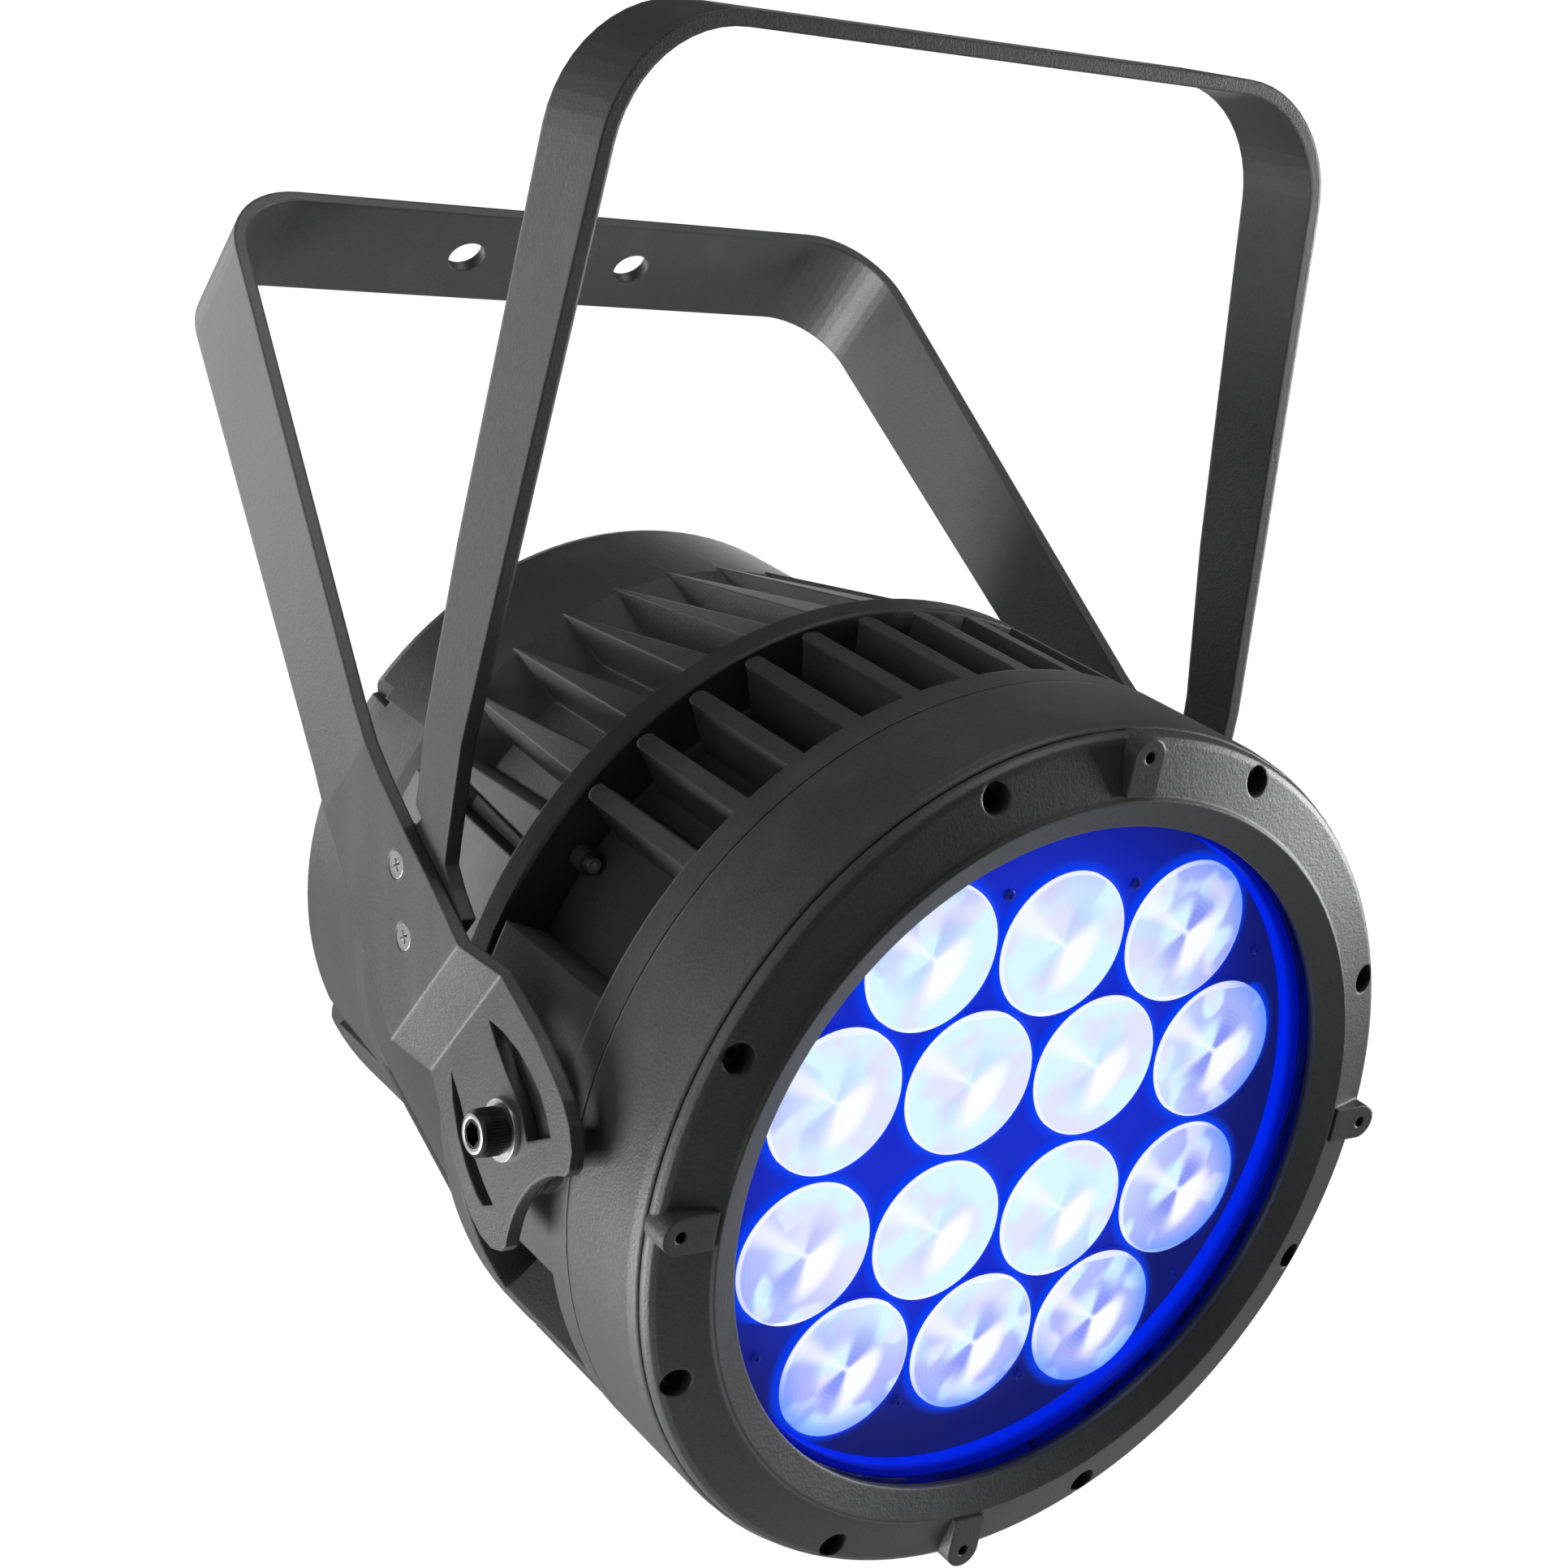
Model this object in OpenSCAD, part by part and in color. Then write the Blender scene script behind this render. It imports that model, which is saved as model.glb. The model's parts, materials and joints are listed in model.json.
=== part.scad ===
// LED zoom par can: a round head held between the ears of a mounting yoke, with a
// second, narrower bracket screwed to the yoke's arms. The origin is the centre of
// the middle clamp hole on the outer face of the yoke's bar. +X runs along the tilt
// axis, -Y is the way the lamp faces, +Z is up. Sizes are in millimetres.

/* [Pose at rest] */
// Lean of the mounting yoke back from upright, degrees
yoke_lean = 38.8; // [0:0.1:45]
// Lean of the floor bracket forward from upright, degrees
floor_lean = 14.4; // [5:0.1:20]
// Tilt of the lamp's front below level, degrees
head_tilt = 17.7; // [0:0.1:40]

/* [Mounting yoke] */
// Height of the bar's outer face above the tilt axis
yoke_h = 328; // [310:1:360]
// Half width of the yoke where its arms would meet the bar
yoke_top = 129; // [126:0.5:135]
// Thickness of the yoke's flat bar
yoke_t = 4; // [3:0.5:4]
// Width of the bar at the clamp holes
bar_w = 39; // [34:1:46]
// Width of each arm at its narrowest
waist_w = 32; // [28:1:36]
// Outer radius of the yoke's two corners
yoke_corner = 30; // [15:1:45]
// Distance from the middle plane to the outer face of each ear
ear_x = 139.5; // [139:0.5:142]
// Distance from the middle plane to the outer face of each flared part
flare_x = 148.3; // [148:0.1:150]
// Diameter of the clamp holes
clamp_d = 13; // [10:0.5:14]
// Distance between neighbouring clamp holes
clamp_pitch = 33; // [25:1:40]

/* [Floor bracket] */
// Distance of the bracket's bar above the tilt axis, along its arms
floor_h = 292; // [280:1:310]
// Half width of the bracket where its arms would meet the bar
floor_top = 125.5; // [123:0.5:130]
// Thickness of the bracket's flat bar
floor_t = 4.4; // [3:0.1:4.5]
// Width of the bracket's bar
floor_bar_w = 35; // [30:1:40]
// Width of each arm just above its foot
floor_arm_w = 19; // [16:1:24]
// Distance of the arms' middle line behind the tilt axis
floor_offset = 48; // [44:1:52]
// Outer radius of the bracket's two corners
floor_corner = 40; // [20:1:50]

/* [Head] */
// Distance of the tilt axis behind the lens faces
pivot_depth = 48.3; // [47:0.1:50]
// Outer radius of the front shell and the ribbed casting
shell_r = 129.5; // [129:0.5:130]
// Radius of the round window in the bezel
window_r = 102.6; // [102:0.1:103]
// Angle between neighbouring ribs of the casting, degrees
rib_step = 8.7; // [8.5:0.1:8.8]
// Thickness of a rib at its top
rib_t = 5.6; // [3:0.1:7]
// Thickness of a rib at its root
rib_root = 11; // [7:0.5:13]
// Number of ribs between the side pads, on top and again below
rib_count = 13; // [5:2:13]
// Angle between neighbouring fins of the rear housing, degrees
fin_step = 10; // [9:0.5:10]
// Width of a fin's top at the flange
fin_w = 8; // [4:0.5:9]
// Width that each side of a fin gains for one millimetre of depth
fin_draft = 0.28; // [0:0.02:0.3]
// Radius of the drum behind the fins
drum_r = 110; // [109:0.5:111]

/* [Zoom optics] */
// Distance between neighbouring lenses in a row
lens_pitch = 46; // [45.8:0.1:46]
// Diameter of each lens
lens_d = 43.4; // [40:0.1:43.4]
// Travel of the lens carrier towards the light engine
zoom_travel = 20; // [10:1:20]

/* [Hardware] */
// Shank diameter of the tilt bolts
pivot_d = 8; // [6:0.5:8]
// Head diameter of the tilt bolts
pivot_head_d = 13; // [12:0.5:14]
// Number of bezel screws
bezel_screw_count = 8; // [4:1:8]
// Radius of the circle of bezel screws
bezel_screw_r = 122.5; // [122:0.1:122.8]
// Diameter of the menu buttons
button_d = 7; // [5:0.5:9]

/* [Hidden] */
$fn = 96;

// Small amounts: a gap that shows as a seam, and an overlap that makes cuts clean.
seam = 0.4;
cut = 1;
run = 0.06;

// The tilt axis, seen from the clamp hole.
pivot_y = -yoke_h * sin(yoke_lean);
pivot_z = -yoke_h * cos(yoke_lean);

// Yoke outlines, as heights above the tilt axis along the arms.
joggle_low = 32.7;
joggle_high = 43.3;
arm_bend = 115;
waist_u = 130;
ear_half = 31;
screw_upper = [9.3, 79];
screw_lower = [0, 61.5];
foot_x = flare_x - yoke_t;
foot_bend = 95;

// Head stations along its own axis, from the lens faces; the front is positive.
bezel_face = 15.2;
lug_face = 15.4;
bezel_back = 2.5;
shell_front = 5.9;
glass_front = 8.4;
glass_back = 4.4;
seam_z = -29;
pocket_front = -38.5;
rib_back = -89.5;
casting_back = -91;
flange_front = -92;
flange_back = -102;
fin_end = -190;
waist_z = -162;
drum_end = -236;
cap_front = -228;
cap_back = -232;
web_front = -66;
web_back = -74;
screw_pocket_r = 4.3;
screw_pocket_z = 4.6;
boss_face = 133.9;
pad_half = 18.6;
side_half = 31;

// Zoom drive places, across the head.
rod_x = 91;
screw_y = 92.6;
rod_r = 3;
carrier_r = 100.7;
well_r = 101.3;

// Lens rows: height of each row and the number of lenses in it.
lens_rows = [[1.366, 3], [0.5, 4], [-0.5, 4], [-1.366, 3]];
lens_places = [
    for (row = lens_rows, i = [0 : row[1] - 1])
        [(i - (row[1] - 1) / 2) * lens_pitch, row[0] * lens_pitch]
];

// Rear cap places, in the head's own X and Y.
button_y = 16;
button_step = 15;
power_in = [-46, -28];
power_out = [46, -28];
data_in = [-19, -62];
data_out = [19, -62];
fuse_at = [0, -22];
vent_at = [66, 20];
eye_y = 74;
contact_r = 1.4;

// Electronics stations along the head's axis.
board_top = -126;
board_t = 1.6;
tray_top = -136;
tray_t = 2;
supply_end = -182;

charcoal = [0.2, 0.2, 0.21];
dark = [0.12, 0.12, 0.13];
steel = [0.7, 0.71, 0.73];
glow = [0.15, 0.25, 0.95];

// ---- frames ----
module at_pivot() {
    translate([0, pivot_y, pivot_z])
        children();
}

// Yoke frame: +Z up the arms, -Y to the front.
module in_yoke() {
    at_pivot() rotate([-yoke_lean, 0, 0]) children();
}

module in_floor_bracket() {
    at_pivot() rotate([floor_lean, 0, 0]) children();
}

// Head frame: +Z out of the front, +Y up.
module in_head() {
    at_pivot()
        rotate([90 + head_tilt, 0, 0])
            translate([0, 0, pivot_depth])
                children();
}

// Draws an outline of [across, up] points as a plate from x0 to x1; across is to the front.
module side_plate(points, x0, x1) {
    translate([x0, 0, 0])
        rotate([90, 0, 90])
            linear_extrude(x1 - x0)
                polygon([for (p = points) [-p[0], p[1]]]);
}

module both_sides() {
    for (side = [0, 1])
        mirror([side, 0, 0])
            children();
}

module ring(r_in, r_out, z0, z1) {
    translate([0, 0, z0])
        difference() {
            cylinder(r = r_out, h = z1 - z0);
            translate([0, 0, -cut]) cylinder(r = r_in, h = z1 - z0 + 2 * cut);
        }
}

module rod(r, z0, z1) {
    translate([0, 0, z0]) cylinder(r = r, h = z1 - z0);
}

// A cylinder along X from x0 to x1, on the tilt axis.
module cross_rod(r, x0, x1) {
    translate([x0, 0, 0]) rotate([0, 90, 0]) cylinder(r = r, h = x1 - x0);
}

// ---- bent flat bars ----
function arc_points(c, r, a0, a1, n) =
    [for (i = [0 : n]) c + r * [cos(a0 + (a1 - a0) * i / n), sin(a0 + (a1 - a0) * i / n)]];

// Outer line of half a bracket, from the low end of the arm to the middle of the bar:
// up a straight part, in along a sloping part and round a corner.
function half_line(low, top_x, top_z, bend_z, low_x, r, inset) =
    let (
        slope = atan((low_x - top_x) / (top_z - bend_z)),
        reach = r * tan((90 - slope) / 2),
        centre = [top_x - reach, top_z - r],
        bend_in = inset * tan(slope / 2)
    )
    concat(
        [[low_x - inset, low], [low_x - inset, bend_z - bend_in]],
        arc_points(centre, r - inset, slope, 90, 12),
        [[0, top_z - inset]]
    );

function reversed(points) = [for (i = [len(points) - 1 : -1 : 0]) points[i]];

module bent_bar(low, top_x, top_z, bend_z, low_x, r, t) {
    outer = half_line(low, top_x, top_z, bend_z, low_x, r, 0);
    inner = half_line(low, top_x, top_z, bend_z, low_x, r, t);
    both_sides()
        rotate([90, 0, 0])
            translate([0, 0, -60])
                linear_extrude(160)
                    polygon(concat(outer, reversed(inner)));
}

// ---- mounting yoke ----
function yoke_half_outline() = [
    [bar_w / 2, yoke_h + cut], [bar_w / 2, yoke_h - 30], [waist_w / 2, waist_u], [17, 104], [19.5, 82],
    [22.6, 62], [24.5, 44], [25, 33], [27.4, 22], [30, 10], [ear_half, -2], [ear_half, -9],
    [29.6, -16], [26.6, -21.5], [22.4, -24.6], [17, -25]
];

module yoke_outline_solid(x0, x1) {
    half = yoke_half_outline();
    mirrored = [for (p = reversed(half)) [-p[0], p[1]]];
    side_plate(concat(half, mirrored), x0, x1);
}

// The crescent windows in an ear, as [across, up] outlines.
front_window = [
    [12, 27], [16.4, 20.5], [19.8, 13], [21.8, 5], [22.3, -2], [21.4, -8], [19.6, -13.4],
    [8.4, -8.4], [10.4, -2], [11, 5], [10.8, 12], [11, 20]
];
rear_window = [
    [-14.6, 27], [-19.4, 19.5], [-22.8, 11], [-24.4, 2], [-24.4, -5.5], [-23.2, -10.4],
    [-18.2, -13], [-18.9, -6], [-18.8, 2], [-17.6, 10], [-15.6, 18]
];

module mounting_yoke() {
    color(charcoal)
    in_yoke()
        difference() {
            intersection() {
                union() {
                    bent_bar(joggle_high, yoke_top, yoke_h, arm_bend, flare_x, yoke_corner, yoke_t);
                    both_sides() ear_and_joggle();
                }
                yoke_outline_solid(-flare_x - cut, flare_x + cut);
            }
            for (i = [-1, 0, 1])
                translate([i * clamp_pitch, 0, yoke_h - yoke_t - cut])
                    cylinder(d = clamp_d, h = yoke_t + 2 * cut);
            both_sides() {
                cross_rod(pivot_d / 2 + run, ear_x - yoke_t - cut, ear_x + cut);
                side_plate(front_window, ear_x - yoke_t - cut, ear_x + cut);
                side_plate(rear_window, ear_x - yoke_t - cut, ear_x + cut);
                translate([0, 0, -51.5]) cross_rod(33, ear_x - yoke_t - cut, ear_x + cut);
                at_bracket_screws() {
                    cross_rod(2.2, foot_x - cut, flare_x + cut);
                    countersink(4.3);
                }
            }
        }
}

module ear_and_joggle() {
    rise = flare_x - ear_x;
    rotate([90, 0, 0])
        translate([0, 0, -60])
            linear_extrude(120)
                polygon([
                    [ear_x, -40], [ear_x, joggle_low], [flare_x, joggle_high],
                    [flare_x, joggle_high + 2], [flare_x - yoke_t, joggle_high + 2],
                    [flare_x - yoke_t, joggle_high + 1.2], [ear_x - yoke_t, joggle_low + 1.2],
                    [ear_x - yoke_t, -40]
                ]);
}

module at_bracket_screws() {
    for (p = [screw_upper, screw_lower])
        translate([0, -p[0], p[1]])
            children();
}

module countersink(r) {
    translate([flare_x - 2.2, 0, 0])
        rotate([0, 90, 0])
            cylinder(r1 = r - 2.3, r2 = r + 0.1, h = 2.4);
}

module bracket_screws() {
    color(steel)
    in_yoke()
        both_sides()
            at_bracket_screws()
                difference() {
                    union() {
                        cross_rod(1.9, foot_x - floor_t, flare_x - 1);
                        translate([flare_x - 2.2, 0, 0])
                            rotate([0, 90, 0])
                                cylinder(r1 = 1.85, r2 = 3.85, h = 2);
                    }
                    for (a = [0, 90])
                        translate([flare_x - 0.7, 0, 0])
                            rotate([a + 20, 0, 0])
                                cube([3, 0.9, 4], center = true);
                }
}

// ---- floor bracket ----
module floor_bracket() {
    half_top = floor_bar_w / 2;
    half_low = floor_arm_w / 2;
    arm = [
        [half_top, floor_h + cut], [half_top, floor_h - 25], [half_low, 69], [half_low, 60],
        [-half_low, 72], [-half_low, 90], [-half_top, floor_h - 25], [-half_top, floor_h + cut]
    ];
    foot = [
        [26.5, 70.5], [24.6, 60], [24.2, 51], [-9, 51], [-12, 56], [-12, 70], [-3, 84], [11, 92],
        [17, 85], [30, 84]
    ];
    color(charcoal)
    difference() {
        union() {
            in_floor_bracket()
                intersection() {
                    bent_bar(40, floor_top, floor_h, foot_bend, foot_x, floor_corner, floor_t);
                    side_plate([for (p = arm) p - [floor_offset, 0]], -foot_x - cut, foot_x + cut);
                }
            in_yoke()
                both_sides()
                    side_plate(foot, foot_x - floor_t, foot_x);
        }
        in_yoke()
            both_sides()
                at_bracket_screws()
                    cross_rod(1.95, foot_x - floor_t - cut, foot_x + cut);
    }
}

// ---- tilt pivots ----
module at_tilt_axis() {
    at_pivot() rotate([90 + head_tilt, 0, 0]) both_sides() children();
}

washer_in = ear_x + 0.05;
washer_out = washer_in + 1.6;

module pivot_bolts() {
    color(dark)
    at_tilt_axis()
        difference() {
            union() {
                cross_rod(pivot_d / 2, 118, washer_out + cut);
                cross_rod(pivot_head_d / 2, washer_out, washer_out + 7.2);
                translate([washer_out + 7.2, 0, 0])
                    rotate([0, 90, 0])
                        cylinder(r1 = pivot_head_d / 2, r2 = pivot_head_d / 2 - 0.8, h = 0.8);
            }
            translate([washer_out + 3.5, 0, 0])
                rotate([0, 90, 0])
                    cylinder(d = 6.9, h = 6, $fn = 6);
        }
}

module pivot_washers() {
    color(steel)
    at_tilt_axis()
        difference() {
            cross_rod(8.5, washer_in, washer_out);
            cross_rod(pivot_d / 2 + 0.2, washer_in - cut, washer_out + cut);
        }
}

module friction_discs() {
    color(dark)
    at_tilt_axis()
        difference() {
            cross_rod(19, boss_face, ear_x - yoke_t - 0.1);
            cross_rod(pivot_d / 2 + 0.2, boss_face - cut, ear_x);
        }
}

module pivot_inserts() {
    color(steel)
    at_tilt_axis()
        difference() {
            cross_rod(7, 117, boss_face - 0.5);
            cross_rod(pivot_d / 2 + 0.02, 116, boss_face + cut);
        }
}

// ---- bezel and window ----
module at_bezel_screws() {
    for (i = [0 : bezel_screw_count - 1])
        rotate([0, 0, 22.5 + i * 360 / bezel_screw_count])
            translate([bezel_screw_r, 0, 0])
                children();
}

module at_lugs() {
    for (i = [0 : 3])
        rotate([0, 0, i * 90])
            translate([123.8, 0, 0])
                children();
}

module bezel_ring() {
    color(charcoal)
    in_head()
        difference() {
            union() {
                rotate_extrude()
                    polygon([
                        [window_r, 9.8], [window_r, 11.5], [111, bezel_face], [111.4, bezel_face],
                        [112.2, 14.2], [126, 10.4], [127.5, 9.4], [128.3, 7.9], [128.4, 6.3], [124.6, 6.3],
                        [124.6, bezel_back], [108.2, bezel_back], [108.2, 9.8]
                    ]);
                at_lugs() {
                    rod(5.4, 6.3, lug_face);
                    translate([-11, -5.4, 6.3]) cube([11, 10.8, lug_face - 6.3]);
                }
            }
            at_bezel_screws() {
                rod(screw_pocket_r, screw_pocket_z, 20);
                rod(2.2, 0, 8);
            }
            at_lugs() rod(1.7, 7.5, 20);
        }
}

module bezel_screws() {
    color(dark)
    in_head()
        at_bezel_screws()
            difference() {
                union() {
                    rod(1.95, -37, screw_pocket_z + 0.4);
                    rod(3.5, screw_pocket_z, screw_pocket_z + 3);
                }
                translate([0, 0, screw_pocket_z + 1.2]) cylinder(d = 3.4, h = 4, $fn = 6);
            }
}

module bezel_gasket() {
    color(dark)
    in_head()
        ring(110, 116, 1.3, bezel_back);
}

module glass_gasket() {
    color(dark)
    in_head()
        ring(window_r + 0.4, 107.4, glass_front, 9.8);
}

module front_glass() {
    color([0.8, 0.85, 0.95, 0.3])
    in_head()
        rod(107.4, glass_back, glass_front);
}

module front_shell() {
    color(charcoal)
    in_head()
        difference() {
            union() {
                rotate_extrude()
                    polygon([
                        [125, seam_z + seam], [shell_r, seam_z + seam], [shell_r, 2],
                        [129.2, shell_front - 0.8], [128.6, shell_front], [125, shell_front],
                        [125, 1.3], [107.4, 1.3], [107.4, glass_back], [103.5, glass_back],
                        [103.5, -3], [121, -3], [125, -7]
                    ]);
                intersection() {
                    at_bezel_screws() rod(5.2, seam_z + 5.5, bezel_back - 0.2);
                    rod(126, seam_z, 3);
                }
            }
            at_bezel_screws() {
                rod(2.2, seam_z - cut, 4);
                rod(screw_pocket_r + 0.3, screw_pocket_z - 0.5, shell_front + cut);
            }
        }
}

module light_well() {
    color(glow)
    in_head()
        ring(well_r, 103.2, web_front + 0.2, 4.1);
}

// ---- ribbed heatsink casting ----
module sector(r_in, r_out, z0, z1, half_angle) {
    rotate([0, 0, -half_angle])
        rotate_extrude(angle = 2 * half_angle)
            translate([r_in, z0])
                square([r_out - r_in, z1 - z0]);
}

module rib() {
    top = shell_r - 0.4;
    rotate([0, 0, 90]) {
        translate([0, 0, rib_back + rib_t / 2])
            linear_extrude(pocket_front - rib_back + 1 - rib_t / 2)
                polygon([[111.9, -rib_root / 2], [top, -rib_t / 2], [top, rib_t / 2], [111.9, rib_root / 2]]);
        translate([112, 0, rib_back + rib_t / 2])
            rotate([0, 90, 0])
                cylinder(d = rib_t, h = shell_r - 0.4 - 112);
    }
}

module at_housing_screws() {
    for (a = [60, 120, 240, 300])
        rotate([0, 0, 90 - a])
            translate([116.5, 0, 0])
                children();
}

module heatsink_casting() {
    last = (rib_count - 1) / 2;
    color(charcoal)
    in_head()
        difference() {
            union() {
                ring(106, 113, casting_back, pocket_front + cut);
                ring(112, shell_r, pocket_front, seam_z);
                ring(106, 124.4, pocket_front, seam_z);
                ring(119, 124.4, seam_z - cut, seam_z + 5);
                rod(106.5, web_back, web_front);
                for (half = [0, 180], i = [-last : last])
                    rotate([0, 0, half + i * rib_step])
                        rib();
                for (side = [0, 180])
                    rotate([0, 0, side])
                        sector(112, shell_r - 0.2, rib_back, pocket_front + cut, pad_half);
                translate([0, 0, -pivot_depth])
                    both_sides()
                        cross_rod(18.3, 110, boss_face);
                at_housing_screws() rod(3.6, casting_back, -86);
            }
            both_sides()
                translate([0, 0, -pivot_depth]) cross_rod(7.02, 116.9, boss_face + cut);
            both_sides() translate([rod_x, 0, 0]) rod(rod_r + 0.02, web_back - cut, web_front + cut);
            for (s = [-1, 1]) translate([0, s * screw_y, 0]) rod(4.2, web_back - cut, web_front + cut);
            at_bezel_screws() rod(2, seam_z - 9, seam_z + 8);
            at_housing_screws() rod(1.6, casting_back - cut, -80);
            translate([40, 0, 0]) rod(6, web_back - cut, web_front + cut);
        }
}

module rear_gasket() {
    color(dark)
    in_head()
        ring(106.2, 112.8, flange_front, casting_back);
}

// ---- rear housing ----
// All that lies left of a fin's right face: the face leans by fin_draft and narrows to the tip.
module fin_side() {
    taper = atan((fin_w / 2 + 17.2 * fin_draft) / (flange_back - fin_end));
    lean = atan(fin_draft * cos(taper));
    translate([0.4, drum_r, fin_end])
        rotate([0, taper, 0])
            rotate([0, 0, lean])
                translate([-60, -60, -150])
                    cube([60, 120, 300]);
}

module fin() {
    intersection() {
        fin_side();
        mirror([1, 0, 0]) fin_side();
        rotate([90, 0, 90])
            translate([0, 0, -20])
                linear_extrude(40)
                    polygon([
                        [113, flange_back + cut], [127.2, flange_back + cut], [drum_r + 0.2, fin_end],
                        [drum_r - 3, fin_end], [102.4, waist_z]
                    ]);
    }
}

module rear_housing() {
    color(charcoal)
    in_head()
        difference() {
            union() {
                rotate_extrude()
                    polygon([
                        [106, flange_front], [128.6, flange_front], [129.2, flange_front - 0.8],
                        [129.2, flange_back + 0.8], [128.6, flange_back], [116, flange_back],
                        [104.8, waist_z], [drum_r, fin_end + 3], [drum_r, drum_end + 6],
                        [drum_r - 0.8, drum_end + 3], [drum_r - 2.6, drum_end + 1],
                        [drum_r - 5.5, drum_end], [99, drum_end], [99, cap_front - 0.4],
                        [88, cap_front - 0.4], [88, cap_front + 3.6], [101, cap_front + 8],
                        [101, waist_z], [112, flange_back - 1], [112, flange_front - 6],
                        [106, flange_front - 6]
                    ]);
                for (half = [0, 180], i = [-6 : 6])
                    rotate([0, 0, half + i * fin_step])
                        fin();
                for (side = [0, 180])
                    rotate([0, 0, side - 25])
                        rotate_extrude(angle = 50)
                            polygon([
                                [113, flange_back + cut], [127.4, flange_back + cut],
                                [drum_r, fin_end + 2], [103, waist_z - 10], [103, waist_z]
                            ]);
            }
            for (side = [0, 180])
                rotate([0, 0, side - side_half])
                    rotate_extrude(angle = 2 * side_half)
                        polygon([
                            [drum_r + 0.01, fin_end - 4], [drum_r - 2.8, drum_end + 6],
                            [drum_r - 3.6, drum_end - cut], [drum_r + 5, drum_end - cut],
                            [drum_r + 5, fin_end - 4]
                        ]);
            for (side = [0, 180], s = [-1, 1])
                rotate([0, 0, side + s * side_half])
                    translate([0, 0, drum_end - cut])
                        linear_extrude(14)
                            polygon([[drum_r - 5, 0], [drum_r + 3, -6.5], [drum_r + 3, 6.5]]);
            at_housing_screws() rod(1.5, flange_back + 1.5, flange_front + cut);
            at_cap_screws() rod(1.6, cap_front - cut, cap_front + 3);
        }
}

module housing_screws() {
    color(steel)
    in_head()
        at_housing_screws()
            difference() {
                union() {
                    rod(1.45, flange_back + 2, -85.5);
                    rod(2.3, -86, -83.6);
                }
                translate([0, 0, -84.8]) cylinder(d = 2.4, h = 4, $fn = 6);
            }
}

// ---- rear cap ----
module at_cap_screws() {
    for (i = [0 : 5])
        rotate([0, 0, 30 + i * 60])
            translate([93, 0, 0])
                children();
}

module at_connectors() {
    for (p = [power_in, power_out, data_in, data_out])
        translate([p[0], p[1], 0])
            children();
}

module at_button(i) {
    translate([(i - 1.5) * button_step, button_y, 0])
        children();
}

module rear_cap() {
    color(charcoal)
    in_head()
        difference() {
            union() {
                rod(98.4, cap_back, cap_front - 0.4);
                translate([-40, 6, cap_back - 1]) cube([80, 58, 1 + cut]);
            }
            at_cap_screws() rod(2.1, cap_back - cut, cap_front + cut);
            at_connectors() rod(12, cap_back - cut, cap_front + cut);
            at_connectors()
                for (s = [-1, 1])
                    translate([s * 9.5, s * 12, 0]) rod(1.6, cap_back - cut, cap_front + cut);
            for (i = [0 : 3])
                at_button(i) rod(button_d / 2 + 0.3, cap_back - 3, cap_front + cut);
            translate([-28, 32, cap_back - 3]) cube([56, 24, 8]);
            translate([fuse_at[0], fuse_at[1], 0]) rod(6.2, cap_back - cut, cap_front + cut);
            translate([vent_at[0], vent_at[1], 0]) rod(6, cap_back - cut, cap_front + cut);
            for (s = [-1, 1])
                translate([s * 9, eye_y, 0]) rod(2.1, cap_back - cut, cap_front + cut);
        }
}

module rear_cap_screws() {
    color(steel)
    in_head()
        at_cap_screws()
            difference() {
                union() {
                    rod(1.55, cap_back + 0.5, cap_front + 2.5);
                    rod(3.4, cap_back - 2.2, cap_back);
                    rod(1.55, cap_back - 0.5, cap_back + 1);
                }
                translate([0, 0, cap_back - 3]) cylinder(d = 2.6, h = 2, $fn = 6);
            }
}

module display_window() {
    color([0.05, 0.06, 0.08])
    in_head()
        difference() {
            translate([-27.7, 32.3, cap_back - 0.7]) cube([55.4, 23.4, 4]);
            translate([-22, 36, cap_back - 2]) cube([44, 16, 1.7]);
        }
}

module button_shape(i) {
    color([0.25, 0.25, 0.27])
    in_head()
        at_button(i) {
            rod(button_d / 2, cap_back - 3, cap_front + 2.4);
            rod(button_d / 2 + 1.4, cap_front + 0.2, cap_front + 1.6);
        }
}

module menu_button() {
    button_shape(0);
}

module up_button() {
    button_shape(1);
}

module down_button() {
    button_shape(2);
}

module enter_button() {
    button_shape(3);
}

// A panel connector: a flange with two screw holes, a barrel and a round socket.
module connector(place, socket_r, key_w) {
    in_head()
        translate([place[0], place[1], 0])
            difference() {
                union() {
                    translate([-13, -15.5, cap_back - 2.4]) cube([26, 31, 2.4]);
                    rod(14.2, cap_back - 5, cap_back - 2);
                    rod(11.7, cap_back - 3, cap_front + 18);
                }
                rod(socket_r, cap_back - 7, cap_back + 8);
                translate([-key_w / 2, 0, cap_back - 7]) cube([key_w, 12.6, 4]);
                for (s = [-1, 1])
                    translate([s * 9.5, s * 12, 0]) rod(1.6, cap_back - 8, cap_front + cut);
                for (a = [90, 210, 330])
                    rotate([0, 0, a])
                        translate([4.4, 0, 0]) rod(contact_r + 0.05, cap_back + 7, cap_front + 19);
            }
}

module power_inlet() {
    color([0.1, 0.2, 0.6])
    connector(power_in, 9.8, 3);
}

module power_outlet() {
    color([0.6, 0.6, 0.62])
    connector(power_out, 9.8, 5);
}

module data_inlet() {
    color(dark)
    connector(data_in, 8.4, 2);
}

module data_outlet() {
    color(dark)
    connector(data_out, 8.4, 4);
}

module socket_contacts() {
    color([0.8, 0.65, 0.3])
    in_head()
        at_connectors()
            for (a = [90, 210, 330])
                rotate([0, 0, a])
                    translate([4.4, 0, 0])
                        difference() {
                            rod(contact_r, cap_back + 8.3, cap_front + 21);
                            rod(0.8, cap_back + 8, cap_back + 14);
                        }
}

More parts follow.
